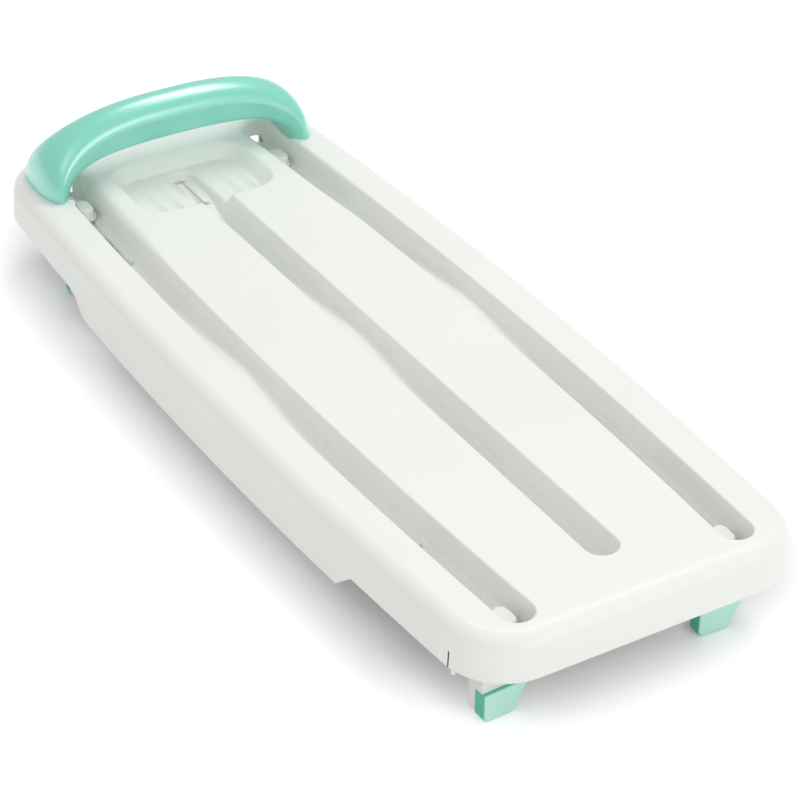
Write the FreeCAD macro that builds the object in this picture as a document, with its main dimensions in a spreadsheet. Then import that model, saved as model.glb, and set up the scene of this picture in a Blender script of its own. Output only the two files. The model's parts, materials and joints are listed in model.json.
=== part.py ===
import FreeCAD, Part
import math
import os
import re
from types import SimpleNamespace

# A moulded bath board with a grab handle and four feet that slide in its grooves.
# X runs along the board with the handle at the minus end, and Z is up.
# The origin is on the ground under the middle of the board, level with the pads.

V = FreeCAD.Vector
UP = V(0, 0, 1)
doc = FreeCAD.newDocument("bath_board")
sheet = doc.addObject("Spreadsheet::Sheet", "Sizes")

SIZES = [
    # The moulded board
    ("board_length", 700, "over both ends"),
    ("board_width", 270, "across the middle"),
    ("side_bow", 14, "how far each side bows out between its ends"),
    ("corner_round", 36, "plan radius of the four corners"),
    ("edge_round", 12, "radius between the top and the skirt"),
    ("skirt_draft", 3, "degrees that the skirt leans out"),
    ("wall", 3, "thickness of the moulding"),
    ("end_skirt", 31, "depth of the skirt over the bath rims"),
    ("mid_skirt", 45, "depth of the skirt between the rims"),
    ("near_step_inset", 139, "from the near end to the top of the skirt's step"),
    ("near_step_run", 17, "length of that slanting step"),
    ("far_step_inset", 151, "from the far end to the top of the skirt's curve"),
    ("far_step_run", 35, "length of that curve"),
    # The three drain grooves
    ("groove_width", 23, "across each groove"),
    ("groove_depth", 22, "over most of the length"),
    ("crest_depth", 13, "at the crest of the groove floor"),
    ("crest_inset", 338, "crest from the far end"),
    ("crest_reach", 125, "from the crest to each foot of its slopes"),
    ("groove_margin", 44, "centre lines of the outer grooves from the board's widest sides"),
    ("groove_bow", 11.5, "how far they close in by the board's ends"),
    ("outer_near_inset", 17, "near end of the outer grooves from the board's end"),
    ("outer_far_inset", 38, "far end of the outer grooves from the board's end"),
    ("centre_near_inset", 46, "near end of the centre groove"),
    ("centre_far_inset", 68, "far end of the centre groove"),
    ("window_height", 12, "drain window in the far wall of each outer groove"),
    ("window_width", 15, "across that window"),
    # The soap recess
    ("recess_inset", 64, "foot of its back wall from the far end"),
    ("recess_length", 65, "along its floor"),
    ("recess_land", 31.5, "from its floor to the outer grooves, measured at mid length"),
    ("recess_depth", 11, "below the seat"),
    ("recess_draft", 38, "degrees that its walls lean"),
    ("recess_round", 14, "plan radius of its corners"),
    ("recess_groove_depth", 17, "centre groove inside the recess, below the seat"),
    ("recess_groove_ramp", 24, "length of that groove's run down to full depth"),
    ("channel_radius", 7, "of the scooped drain channels in its floor"),
    ("channel_depth", 4, "below the floor at their front end"),
    ("channel_length", 55, "of each channel"),
    ("channel_offset", 25.5, "inner channels from the centre line"),
    ("channel_pitch", 13, "between neighbouring channels"),
    ("soap_slot_width", 5, "drain slot in the recess part of the centre groove"),
    ("soap_slot_length", 44, "along the board"),
    ("soap_slot_inset", 71, "far end of that slot from the board's end"),
    # Ribs under the seat, side slits and pips
    ("rib_thick", 2.4, "of the cross ribs"),
    ("rib_depth", 19, "from the seat's surface to the ribs' lower edge"),
    ("rib_pitch", 62, "between cross ribs"),
    ("slit_width", 1.2, "vertical slit in each side skirt"),
    ("slit_height", 18, "up from the skirt's lower edge"),
    ("slit_inset", 36, "from the near end"),
    ("pip_length", 2.6, "small moulded pip beside each slit"),
    ("pip_drop", 3.5, "below the skirt"),
    ("pip_gap", 8, "from the slit to the pip"),
    # The handle
    ("handle_inset", 62, "the arch's middle plane from the far end"),
    ("handle_margin", 30.5, "middle of each leg from the board's widest side"),
    ("handle_rise", 41.4, "the arch's middle line over the seat"),
    ("grip_size", 33, "thickness of the grip"),
    ("leg_length", 54, "footprint of each leg along the board"),
    ("leg_width", 19, "footprint of each leg across the board"),
    ("leg_sink", 6, "how far under the seat's level the arch is drawn from"),
    ("screw_spread", 12, "handle screws before and behind the leg's middle"),
    ("screw_size", 5, "diameter of a handle screw"),
    ("screw_grip", 12, "how far it enters the handle"),
    ("screw_head_size", 8.5, "diameter of its pan head"),
    ("screw_head_height", 3, "height of its pan head"),
    ("small_washer_size", 10.5, "outside diameter of a handle washer"),
    ("small_washer_thick", 1.2, "of a handle washer"),
    # The sliding feet
    ("foot_reach", 60, "from under the groove floor to the ground"),
    ("near_rest_inset", 40, "clamps of the near feet from the near end"),
    ("near_outer_inset", 32, "their outermost place"),
    ("near_inner_inset", 132, "their innermost place"),
    ("far_rest_inset", 80, "clamps of the far feet from the far end"),
    ("far_outer_inset", 51, "their outermost place"),
    ("far_inner_inset", 155, "their innermost place"),
    ("slot_width", 9.2, "slot in the groove floor"),
    ("key_length", 17, "guide key that rides in the slot"),
    ("key_height", 2.6, "of that key over the flange"),
    ("flange_length", 42, "the bracket's flange along the board"),
    ("flange_width", 34, "the bracket's flange across the board"),
    ("flange_thick", 5, "the bracket's flange"),
    ("flange_front", 13, "the flange's outer edge from the clamp"),
    ("hub_size", 22, "round hub under the flange"),
    ("hub_depth", 18, "the hub from the flange's top"),
    ("plate_front", 3.6, "the leg plate's outer face, inwards of the clamp"),
    ("plate_thick", 7, "the leg plate"),
    ("plate_lift", 1.5, "the leg plate's lower edge over the ground"),
    ("block_front", 3.5, "the block over the pad, outwards of the clamp"),
    ("block_height", 16, "that block over the pad"),
    ("web_thick", 3.5, "each of the two webs behind the leg plate"),
    ("web_drop", 30, "those webs below the flange"),
    # The pads
    ("pad_thick", 10, "along the board"),
    ("pad_height", 22, "up from the ground"),
    ("pad_slant", 25, "degrees that the slanting side of pad and plate leans"),
    ("pad_round", 2, "radius round the pad's outer face"),
    ("pad_corner_round", 5, "radius of the lower corners of pad and plate"),
    ("peg_size", 6, "diameter of the pad's two pegs"),
    ("peg_spread", 8, "pegs left and right of the pad's middle"),
    ("peg_height", 14, "pegs over the ground"),
    ("peg_length", 6, "of the pad's pegs"),
    # The clamps
    ("bolt_size", 6, "diameter of the clamp bolt"),
    ("bolt_head_flats", 10, "across the flats of the bolt's head"),
    ("bolt_head_height", 4, "of the bolt's hexagon head"),
    ("bolt_length", 20, "under its head"),
    ("nut_height", 5, "of the hexagon nut"),
    ("nut_flats", 10, "across the flats of the nut"),
    ("bolt_tail", 1.5, "of the bolt below the nut"),
    ("washer_size", 18, "outside diameter of the clamp washer"),
    ("washer_thick", 1.5, "of the clamp washer"),
    ("clamp_head_size", 19, "round moulded head that the fingers turn"),
    ("clamp_head_height", 9.5, "of that head"),
    ("clamp_head_round", 2.5, "radius round its top"),
    # Fits
    ("press_gap", 0.05, "pressed, moulded-in and threaded pieces, on each side"),
    ("slide_gap", 0.3, "sliding pieces and bolt holes, on each side"),
    ("overrun", 6, "how far a cutting tool passes its wall"),
]
for row, (alias, value, note) in enumerate(SIZES, start=1):
    sheet.set(f"A{row}", alias)
    sheet.set(f"B{row}", str(value))
    sheet.set(f"C{row}", note)
    sheet.setAlias(f"B{row}", alias)
doc.recompute()

ALIASES = {alias for alias, value, note in SIZES}
s = SimpleNamespace(**{alias: float(sheet.get(alias)) for alias in ALIASES})
FEET = ("near_left", "near_right", "far_left", "far_right")
GRIP_STEPS = 16
LEG_SPREAD_POWER = 4
ARCH_POWER = 0.76
STRAIGHT_SHARE = 0.99

# Levels and places that follow from the sizes
half = s.board_length / 2
seat = s.foot_reach + s.wall + s.groove_depth
groove_floor = seat - s.groove_depth
groove_offset = s.board_width / 2 - s.groove_margin
recess_width = 2 * groove_offset - s.groove_width - 2 * s.recess_land
handle_half_span = s.board_width / 2 - s.handle_margin
skirt_low = seat - s.mid_skirt - s.overrun
sky = seat + s.handle_rise + s.grip_size


def bind(thing, **formulas):
    """Bind properties to formulas that are written in the sheet's aliases."""
    for prop, text in formulas.items():
        formula = re.sub(r"[a-z_]+", lambda word: f"Sizes.{word[0]}"
                         if word[0] in ALIASES else word[0], text)
        thing.setExpression(prop, formula)


def primitive(kind, name, at=("0", "0", "0"), **formulas):
    """One Part primitive with its sizes and its place bound to the sheet."""
    thing = doc.addObject(f"Part::{kind}", name)
    bind(thing, **formulas)
    for axis, text in zip("xyz", at):
        bind(thing, **{f"Placement.Base.{axis}": text})
    return thing


def fuse(name, *things):
    """One solid from several."""
    joined = doc.addObject("Part::MultiFuse", name)
    joined.Shapes = list(things)
    joined.Refine = True
    return joined


def cut(name, base, *tools):
    """A solid less its tools."""
    trimmed = doc.addObject("Part::Cut", name)
    trimmed.Base = base
    trimmed.Tool = fuse(f"{name}_tools", *tools) if len(tools) > 1 else tools[0]
    trimmed.Refine = True
    return trimmed


def built(name, shape):
    """A sub-part whose shape comes from the functions below."""
    thing = doc.addObject("Part::Feature", name)
    thing.Shape = shape
    return thing


def prism(points, start, depth, along):
    """A straight-sided solid over a closed polygon."""
    face = Part.Face(Part.makePolygon(points + points[:1]))
    face.translate(along * start)
    return face.extrude(along * depth)


# The board's outline and skin


def outline(grow, level):
    """The board's plan outline at a level, grown outwards."""
    side = (half ** 2 + s.side_bow ** 2) / (2 * s.side_bow)
    middle = s.board_width / 2 - side
    corner = V(half - s.corner_round, 0, level)
    corner.y = middle + math.sqrt((side - s.corner_round) ** 2 - corner.x ** 2)
    spoke = math.atan2(corner.x, corner.y - middle)
    bisector = (math.pi / 2 + spoke) / 2
    reach = s.corner_round + grow
    on_side = corner + V(math.sin(spoke), math.cos(spoke), 0) * reach
    on_corner = corner + V(math.sin(bisector), math.cos(bisector), 0) * reach
    on_end = corner + V(reach, 0, 0)
    crown = V(0, s.board_width / 2 + grow, level)

    def flipped(point, x_sign, y_sign):
        return V(point.x * x_sign, point.y * y_sign, point.z)

    edges = []
    for y_sign in (1, -1):
        edges.append(Part.Arc(flipped(on_side, -1, y_sign), flipped(crown, 1, y_sign),
                              flipped(on_side, 1, y_sign)).toShape())
        for x_sign in (1, -1):
            edges.append(Part.Arc(flipped(on_side, x_sign, y_sign),
                                  flipped(on_corner, x_sign, y_sign),
                                  flipped(on_end, x_sign, y_sign)).toShape())
    for x_sign in (1, -1):
        edges.append(Part.LineSegment(flipped(on_end, x_sign, 1),
                                      flipped(on_end, x_sign, -1)).toShape())
    return Part.Wire(Part.__sortEdges__(edges))


def blank(inset):
    """The board as a full block with a rounded top edge, or the hollow inside its wall."""
    lean = math.tan(math.radians(s.skirt_draft))
    brim = seat - s.edge_round

    def ring(level):
        return outline((brim - level) * lean - inset, level)

    block = Part.makeLoft([ring(skirt_low), ring(seat - inset)], True, True)
    rim = [edge for edge in block.Edges if edge.CenterOfMass.z > seat - inset - s.press_gap]
    return block.makeFillet(s.edge_round - inset, rim)


def under_skirt():
    """Everything under the skirt, deep in the middle and shallow over the rims."""
    low = seat - s.mid_skirt
    high = seat - s.end_skirt
    rise = high - low
    near = half - s.near_step_inset
    far = s.far_step_inset - half
    radius = (s.far_step_run ** 2 + rise ** 2) / (4 * rise)
    turn = math.asin(s.far_step_run / 2 / radius)
    head = V(far, 0, high)
    foot = V(far + s.far_step_run, 0, low)

    def on_crown(angle):
        return head + V(math.sin(angle), 0, math.cos(angle)) * radius - UP * radius

    def on_dip(angle):
        return foot - V(math.sin(angle), 0, math.cos(angle)) * radius + UP * radius

    points = [foot, V(near - s.near_step_run, 0, low), V(near, 0, high),
              V(half + s.overrun, 0, high), V(half + s.overrun, 0, skirt_low - s.overrun),
              V(-half - s.overrun, 0, skirt_low - s.overrun),
              V(-half - s.overrun, 0, high), head]
    edges = [Part.LineSegment(a, b).toShape() for a, b in zip(points, points[1:])]
    edges.append(Part.Arc(on_crown(0), on_crown(turn / 2), on_crown(turn)).toShape())
    edges.append(Part.Arc(on_crown(turn), on_dip(turn / 2), on_dip(0)).toShape())
    face = Part.Face(Part.Wire(edges))
    face.translate(V(0, -s.board_width, 0))
    return face.extrude(V(0, 2 * s.board_width, 0))


# The grooves, which are also the tracks of the feet


def groove_line(along):
    """How far the outer grooves' centre line lies from the middle at a place."""
    radius = (half ** 2 + s.groove_bow ** 2) / (2 * s.groove_bow)
    return groove_offset - radius + math.sqrt(radius ** 2 - along ** 2)


def strip(start, end, bow, width, low, high):
    """An upright solid with round ends along a line or a bowed line."""
    heading = (end - start).normalize()
    left = V(-heading.y, heading.x, 0)
    middle = (start + end) / 2 + left * bow
    turn = 0.0
    if bow:
        span = (end - start).Length
        turn = 2 * math.atan(2 * bow / span)

    def turned(vector, angle):
        return V(vector.x * math.cos(angle) - vector.y * math.sin(angle),
                 vector.x * math.sin(angle) + vector.y * math.cos(angle), 0)

    ends = ((start, turned(heading, turn), turned(left, turn)),
            (end, turned(heading, -turn), turned(left, -turn)))
    (a, a_way, a_left), (b, b_way, b_left) = ends
    reach = width / 2
    edges = [Part.Arc(a + a_left * reach, a - a_way * reach, a - a_left * reach).toShape(),
             Part.Arc(b - b_left * reach, b + b_way * reach, b + b_left * reach).toShape()]
    for sign in (1, -1):
        if bow:
            edges.append(Part.Arc(a + a_left * reach * sign, middle + left * reach * sign,
                                  b + b_left * reach * sign).toShape())
        else:
            edges.append(Part.LineSegment(a + a_left * reach * sign,
                                          b + b_left * reach * sign).toShape())
    face = Part.Face(Part.Wire(Part.__sortEdges__(edges)))
    face.translate(UP * low)
    return face.extrude(UP * (high - low))


def under_floor(depth_points, drop):
    """Everything under a groove floor that is given by places and depths."""
    points = [V(x, -s.board_width, seat - depth - drop) for x, depth in depth_points]
    points = [V(points[0].x, points[0].y, skirt_low - s.overrun)] + points
    points.append(V(points[-1].x, points[-1].y, skirt_low - s.overrun))
    return prism(points, 0, 2 * s.board_width, V(0, 1, 0))


def groove_floor_points(side):
    """Places along the board and depths of one groove's floor."""
    crest = s.crest_inset - half
    points = [(crest - s.crest_reach, s.groove_depth), (crest, s.crest_depth),
              (crest + s.crest_reach, s.groove_depth), (half + s.overrun, s.groove_depth)]
    if side:
        return [(-half - s.overrun, s.groove_depth)] + points
    front = s.recess_inset + s.recess_length - half
    return [(-half - s.overrun, s.recess_groove_depth),
            (front - s.recess_groove_ramp, s.recess_groove_depth),
            (front, s.groove_depth)] + points


def groove(side, grow):
    """The space of one groove, or with its wall round it when grown."""
    if side:
        far = s.outer_far_inset + s.groove_width / 2 - half
        near = half - s.outer_near_inset - s.groove_width / 2
        start = V(far, side * groove_line(far), 0)
        end = V(near, side * groove_line(near), 0)
        centre = (far + near) / 2
        chord = (start.y + end.y) / 2 * side
        bow = side * (groove_line(centre) - chord)
    else:
        start = V(s.centre_far_inset + s.groove_width / 2 - half, 0, 0)
        end = V(half - s.centre_near_inset - s.groove_width / 2, 0, 0)
        bow = 0
    solid = strip(start, end, bow, s.groove_width + 2 * grow, skirt_low, sky)
    return solid.cut(under_floor(groove_floor_points(side), grow))


def track(foot):
    """Rest, innermost and outermost places of one foot's clamp, and its heading."""
    end, hand = foot.split("_")
    side = -1 if hand == "left" else 1
    way = 1 if end == "near" else -1
    insets = {"near": (s.near_rest_inset, s.near_inner_inset, s.near_outer_inset),
              "far": (s.far_rest_inset, s.far_inner_inset, s.far_outer_inset)}[end]
    rest, inner, outer = [way * (half - inset) for inset in insets]
    first = V(inner, side * groove_line(inner), 0)
    last = V(outer, side * groove_line(outer), 0)
    heading = (last - first).normalize()
    place = first + heading * ((rest - inner) / heading.x)
    return place, first, last, heading


def foot_slot(foot):
    """The slot in the groove floor that one foot's key rides in."""
    place, first, last, heading = track(foot)
    spare = (s.key_length - s.slot_width) / 2 + s.slide_gap * 2
    return strip(first - heading * spare, last + heading * spare, 0, s.slot_width,
                 groove_floor - s.wall - s.overrun, groove_floor + s.wall)


def drain_window(side):
    """The opening in the far wall of one outer groove, down by its floor."""
    end = s.outer_far_inset - half
    run = s.wall + s.overrun
    return Part.makeBox(2 * run, s.window_width, s.window_height,
                        V(end - run, side * groove_line(end) - s.window_width / 2,
                          groove_floor))


# The soap recess


def recess_ring(grow, level):
    """The recess's floor outline at a level, grown outwards."""
    back = s.recess_inset - half - grow
    length = s.recess_length + 2 * grow
    width = recess_width + 2 * grow
    box = Part.makeBox(length, width, s.overrun, V(back, -width / 2, level))
    upright = [edge for edge in box.Edges if abs(edge.tangentAt(0).z) > STRAIGHT_SHARE]
    rounded = box.makeFillet(s.recess_round + grow, upright)
    floor = min(rounded.Faces, key=lambda face: face.CenterOfMass.z)
    return floor.OuterWire


def recess_space(grow):
    """The space of the recess, or with its wall round it when grown."""
    floor = seat - s.recess_depth - grow
    lean = math.radians(s.recess_draft)
    foot = grow * (1 - math.sin(lean)) / math.cos(lean)
    low = recess_ring(foot, floor)
    high = recess_ring(foot + (sky - floor) * math.tan(lean), sky)
    return Part.makeLoft([low, high], True, True)


def channel(across, grow):
    """One scooped channel that slopes down to the front of the recess."""
    floor = seat - s.recess_depth
    front = s.recess_inset + s.recess_length - half
    start = V(front - s.channel_length, across, floor + s.channel_radius)
    end = V(front, across, floor + s.channel_radius - s.channel_depth)
    heading = (end - start).normalize()
    reach = (end - start).Length + grow
    return Part.makeCylinder(s.channel_radius + grow, reach, start, heading)


def channel_places():
    """The channels' distances from the centre line, as many as fit on each side."""
    count = math.floor((recess_width / 2 - s.channel_offset) / s.channel_pitch) + 1
    return [side * (s.channel_offset + step * s.channel_pitch)
            for side in (-1, 1) for step in range(count)]


def soap_slot():
    """The drain slot in the recess part of the centre groove."""
    start = V(s.soap_slot_inset + s.soap_slot_width / 2 - half, 0, 0)
    end = start + V(s.soap_slot_length - s.soap_slot_width, 0, 0)
    return strip(start, end, 0, s.soap_slot_width, skirt_low, seat - s.recess_depth)


# The board itself


def ribs():
    """Cross ribs under the seat."""
    count = math.floor((half - s.corner_round) / s.rib_pitch)
    low = seat - s.rib_depth
    return [Part.makeBox(s.rib_thick, 2 * s.board_width, sky - low,
                         V(step * s.rib_pitch - s.rib_thick / 2, -s.board_width, low))
            for step in range(-count, count + 1)]


def side_box(start, length, low, high, side):
    """A box through one side skirt and nothing else."""
    depth = s.edge_round + s.corner_round
    inner = s.board_width / 2 - s.side_bow - s.edge_round
    return Part.makeBox(length, depth, high - low,
                        V(start, inner if side > 0 else -inner - depth, low))


def leg_middle():
    """Where the middle of each handle leg's footprint is along the board."""
    return s.handle_inset - half


def screw_places():
    """The four handle screws."""
    return [V(leg_middle() + step * s.screw_spread, side * handle_half_span, 0)
            for side in (-1, 1) for step in (-1, 1)]


def board_shell():
    """The whole white moulding."""
    outer = blank(0)
    inner = blank(s.wall)
    skin = outer.cut(inner)
    grooves = [groove(side, 0) for side in (-1, 0, 1)]
    grown = [groove(side, s.wall) for side in (-1, 0, 1)]
    channels = [channel(across, 0) for across in channel_places()]
    channel_walls = [channel(across, s.wall) for across in channel_places()]
    inside = grown + [recess_space(s.wall)] + channel_walls + ribs()
    solid = skin.fuse([shape.common(outer) for shape in inside])

    rim = seat - s.end_skirt
    solid = solid.cut(under_skirt())
    slit = half - s.slit_inset
    pip = slit + s.pip_gap
    solid = solid.fuse([side_box(pip, s.pip_length, rim - s.pip_drop, rim + s.wall,
                                 side).common(skin) for side in (-1, 1)])

    floor = Part.Face(recess_ring(0, skirt_low)).extrude(UP * (sky - skirt_low))
    spaces = grooves + [recess_space(0), soap_slot()]
    spaces += [shape.common(floor) for shape in channels]
    spaces += [foot_slot(foot) for foot in FEET]
    spaces += [drain_window(side) for side in (-1, 1)]
    spaces += [side_box(slit, s.slit_width, rim - s.overrun, rim + s.slit_height, side)
               for side in (-1, 1)]
    hole = s.screw_size / 2 + s.slide_gap
    spaces += [Part.makeCylinder(hole, sky, place) for place in screw_places()]
    return solid.cut(spaces).removeSplitter()


def grip_section(angle):
    """One oval section across the handle's arch, from leg to leg over half a turn."""
    half_leg = s.leg_width / 2
    half_grip = s.grip_size / 2
    base = seat - s.leg_sink
    rise = s.handle_rise + s.leg_sink
    across = math.copysign(abs(math.cos(angle)) ** ARCH_POWER, math.cos(angle))
    up = math.sin(angle) ** ARCH_POWER
    outside = V(0, (handle_half_span + half_leg) * across, base + (rise + half_grip) * up)
    inside = V(0, (handle_half_span - half_leg) * across, base + (rise - half_grip) * up)
    spread = abs(math.cos(angle)) ** LEG_SPREAD_POWER
    centre = (outside + inside) / 2
    centre.x = leg_middle()
    radial = (outside - inside) / 2
    wide = half_grip + (s.leg_length / 2 - half_grip) * spread
    normal = V(wide, 0, 0).cross(radial)
    oval = FreeCAD.Matrix(wide, 0, normal.x, centre.x,
                          0, radial.y, normal.y, centre.y,
                          0, radial.z, normal.z, centre.z)
    return Part.Wire(Part.makeCircle(1).transformGeometry(oval))


def handle():
    """The arched handle, with legs that spread to long footprints on the seat."""
    sections = [grip_section(math.pi * step / GRIP_STEPS) for step in range(GRIP_STEPS + 1)]
    solid = Part.makeLoft(sections, True, False)
    above = Part.makeBox(s.board_length, 2 * s.board_width, sky,
                         V(-s.board_length, -s.board_width, seat))
    solid = solid.common(above)
    hole = s.screw_size / 2 + s.press_gap
    depth = s.screw_grip + s.press_gap
    holes = [Part.makeCylinder(hole, depth, place + UP * seat) for place in screw_places()]
    return solid.cut(holes)


# The fasteners of the handle


def handle_screw(number, along, across):
    """One pan-head screw that comes up through the top into the handle."""
    place = (f"handle_inset - board_length / 2 + {along} * screw_spread",
             f"{across} * (board_width / 2 - handle_margin)")
    under = "foot_reach + groove_depth - small_washer_thick"
    shank = primitive("Cylinder", f"screw_{number}_shank", (*place, under),
                      Radius="screw_size / 2",
                      Height="small_washer_thick + wall + screw_grip")
    head = primitive("Cylinder", f"screw_{number}_head",
                     (*place, f"{under} - screw_head_height"),
                     Radius="screw_head_size / 2", Height="screw_head_height")
    return fuse(f"screw_{number}", shank, head)


def handle_washer(number, along, across):
    """The washer under one handle screw's head."""
    place = (f"handle_inset - board_length / 2 + {along} * screw_spread",
             f"{across} * (board_width / 2 - handle_margin)",
             "foot_reach + groove_depth - small_washer_thick")
    disc = primitive("Cylinder", f"washer_{number}_disc", place,
                     Radius="small_washer_size / 2", Height="small_washer_thick")
    hole = primitive("Cylinder", f"washer_{number}_hole", place,
                     Radius="screw_size / 2 + slide_gap", Height="small_washer_thick")
    return cut(f"washer_{number}", disc, hole)


def group(name, maker):
    """Four identical fasteners as one node of separate solids."""
    places = [(along, across) for across in (-1, 1) for along in (-1, 1)]
    together = doc.addObject("Part::Compound", name)
    together.Links = [maker(number, *place) for number, place in enumerate(places, start=1)]
    return together


# The pieces of one foot, each drawn with its clamp's axis upright at the origin


def hexagon(name, flats, height, low):
    """A hexagon with two flats along the track."""
    return primitive("Prism", name, ("0", "0", low), Polygon="6",
                     Circumradius=f"({flats}) / 2 / cos(30)", Height=height)


def rounded(name, base, radius, wanted):
    """A solid with the wanted edges rounded."""
    doc.recompute()
    numbers = [number for number, edge in enumerate(base.Shape.Edges, start=1)
               if wanted(edge.CenterOfMass, edge)]
    smooth = doc.addObject("Part::Fillet", name)
    smooth.Base = base
    smooth.Edges = [(number, radius, radius) for number in numbers]
    return smooth


def lies_along(edge, way):
    """Whether a straight edge runs along a direction."""
    ends = [vertex.Point for vertex in edge.Vertexes]
    return len(ends) == 2 and abs((ends[1] - ends[0]).normalize().dot(way)) > STRAIGHT_SHARE


def slant_tool(foot, what):
    """What the slanting side takes off one piece, which is mirrored on the far feet."""
    near = foot.startswith("near")
    reach = "(plate_thick + pad_thick + overrun)"
    down, out = "2 * pad_height", "flange_width"
    side = "flange_width / 2" if near else "-flange_width / 2"
    tool = primitive("Box", f"{foot}_{what}_slant", (f"-{reach}", side, "pad_height"),
                     Length=f"2 * {reach}", Width=down if near else out,
                     Height=out if near else down)
    turn = 270 - s.pad_slant if near else 180 + s.pad_slant
    tool.Placement.Rotation = FreeCAD.Rotation(V(1, 0, 0), turn)
    return tool


def low_corner(centre, edge):
    """Whether an edge is a lower corner that runs along the board."""
    return centre.z < s.pad_corner_round and lies_along(edge, V(1, 0, 0))


def bracket(foot):
    """The white moulding that carries a pad and hangs from its clamp."""
    plate = primitive("Box", f"{foot}_plate",
                      ("-plate_front - plate_thick", "-flange_width / 2", "plate_lift"),
                      Length="plate_thick", Width="flange_width",
                      Height="foot_reach - plate_lift")
    plate = cut(f"{foot}_leaning_plate", plate, slant_tool(foot, "plate"))
    plate = rounded(f"{foot}_rounded_plate", plate, s.pad_corner_round, low_corner)
    flange = primitive("Box", f"{foot}_flange",
                       ("flange_front - flange_length", "-flange_width / 2",
                        "foot_reach - flange_thick"),
                       Length="flange_length", Width="flange_width", Height="flange_thick")
    hub = primitive("Cylinder", f"{foot}_hub", ("0", "0", "foot_reach - hub_depth"),
                    Radius="hub_size / 2", Height="hub_depth")
    block = primitive("Box", f"{foot}_block",
                      ("-plate_front", "-flange_width / 2", "pad_height"),
                      Length="plate_front + block_front", Width="flange_width",
                      Height="block_height")
    webs = [web(foot, side) for side in ("left", "right")]
    solid = fuse(f"{foot}_bracket_body", plate, flange, hub, block, *webs, *key(foot))

    bolt_hole = primitive("Cylinder", f"{foot}_bolt_hole",
                          ("0", "0", "foot_reach - hub_depth - overrun"),
                          Radius="bolt_size / 2 + slide_gap",
                          Height="hub_depth + 2 * overrun")
    low = "foot_reach + wall + washer_thick - bolt_length + bolt_tail - press_gap"
    tall = "nut_height + press_gap"
    pocket = hexagon(f"{foot}_nut_pocket", "nut_flats + 2 * press_gap", tall, low)
    mouth = primitive("Box", f"{foot}_nut_mouth",
                      ("-hub_size", "-nut_flats / 2 - press_gap", low),
                      Length="hub_size", Width="nut_flats + 2 * press_gap", Height=tall)
    peg_holes = pegs(foot, "hole", "plate_thick + overrun", "peg_size / 2 + press_gap")
    return cut(f"bracket_{foot}", solid, bolt_hole, pocket, mouth, *peg_holes)


def web(foot, side):
    """One tapering web behind the leg plate."""
    across = {"left": "web_thick - flange_width / 2", "right": "flange_width / 2"}[side]
    tail = "flange_length - flange_front - plate_front - plate_thick"
    shape = primitive("Wedge", f"{foot}_{side}_web",
                      ("-plate_front - plate_thick", across,
                       "foot_reach - flange_thick - web_drop"),
                      Xmin="-web_thick", Xmax="0", Ymin="0", Ymax="web_drop",
                      Zmin="0", Zmax="web_thick", X2min=f"-({tail})", X2max="0",
                      Z2min="0", Z2max="web_thick")
    shape.Placement.Rotation = FreeCAD.Rotation(V(1, 0, 0), 90)
    return shape


def key(foot):
    """The guide key on the flange, with round ends."""
    width = "slot_width - 2 * slide_gap"
    straight = f"key_length - ({width})"
    bar = primitive("Box", f"{foot}_key", (f"-({straight}) / 2", f"-({width}) / 2",
                                           "foot_reach"),
                    Length=straight, Width=width, Height="key_height")
    ends = [primitive("Cylinder", f"{foot}_key_{end}",
                      (f"{sign} * ({straight}) / 2", "0", "foot_reach"),
                      Radius=f"({width}) / 2", Height="key_height")
            for end, sign in (("tail", -1), ("nose", 1))]
    return [bar, *ends]


def pegs(foot, use, length, radius):
    """The two pegs that hold a pad, or their holes in the plate."""
    both = []
    for number, sign in enumerate((-1, 1), start=1):
        peg = primitive("Cylinder", f"{foot}_{use}_{number}",
                        ("-plate_front", f"{sign} * peg_spread", "peg_height"),
                        Radius=radius, Height=length)
        peg.Placement.Rotation = FreeCAD.Rotation(UP, V(-1, 0, 0))
        both.append(peg)
    return both


def pad(foot):
    """The soft pad that presses on the bath's wall and stands on the floor."""
    block = primitive("Box", f"{foot}_pad_block",
                      ("-plate_front", "-flange_width / 2", "0"),
                      Length="pad_thick", Width="flange_width", Height="pad_height")
    block = cut(f"{foot}_leaning_pad", block, slant_tool(foot, "pad"))
    block = rounded(f"{foot}_cornered_pad", block, s.pad_corner_round, low_corner)
    front = s.pad_thick - s.plate_front

    def on_front(centre, edge):
        return centre.x > front - s.press_gap

    block = rounded(f"{foot}_rounded_pad", block, s.pad_round, on_front)
    return fuse(f"pad_{foot}", block, *pegs(foot, "peg", "peg_length", "peg_size / 2"))


def clamp_head(foot):
    """The round moulded head in the groove, which turns to loosen the foot."""
    low = "foot_reach + wall + washer_thick"
    disc = primitive("Cylinder", f"{foot}_head_disc", ("0", "0", low),
                     Radius="clamp_head_size / 2", Height="clamp_head_height")
    top = s.foot_reach + s.wall + s.washer_thick + s.clamp_head_height

    def on_top(centre, edge):
        return centre.z > top - s.press_gap

    dome = rounded(f"{foot}_head_dome", disc, s.clamp_head_round, on_top)
    socket = hexagon(f"{foot}_head_socket", "bolt_head_flats + 2 * press_gap",
                     "bolt_head_height + press_gap", low)
    return cut(f"clamp_head_{foot}", dome, socket)


def clamp_bolt(foot):
    """The hexagon bolt that is moulded into the clamp head."""
    under = "foot_reach + wall + washer_thick"
    head = hexagon(f"{foot}_bolt_head", "bolt_head_flats", "bolt_head_height", under)
    shank = primitive("Cylinder", f"{foot}_bolt_shank", ("0", "0", f"{under} - bolt_length"),
                      Radius="bolt_size / 2", Height="bolt_length")
    return fuse(f"clamp_bolt_{foot}", head, shank)


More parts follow.
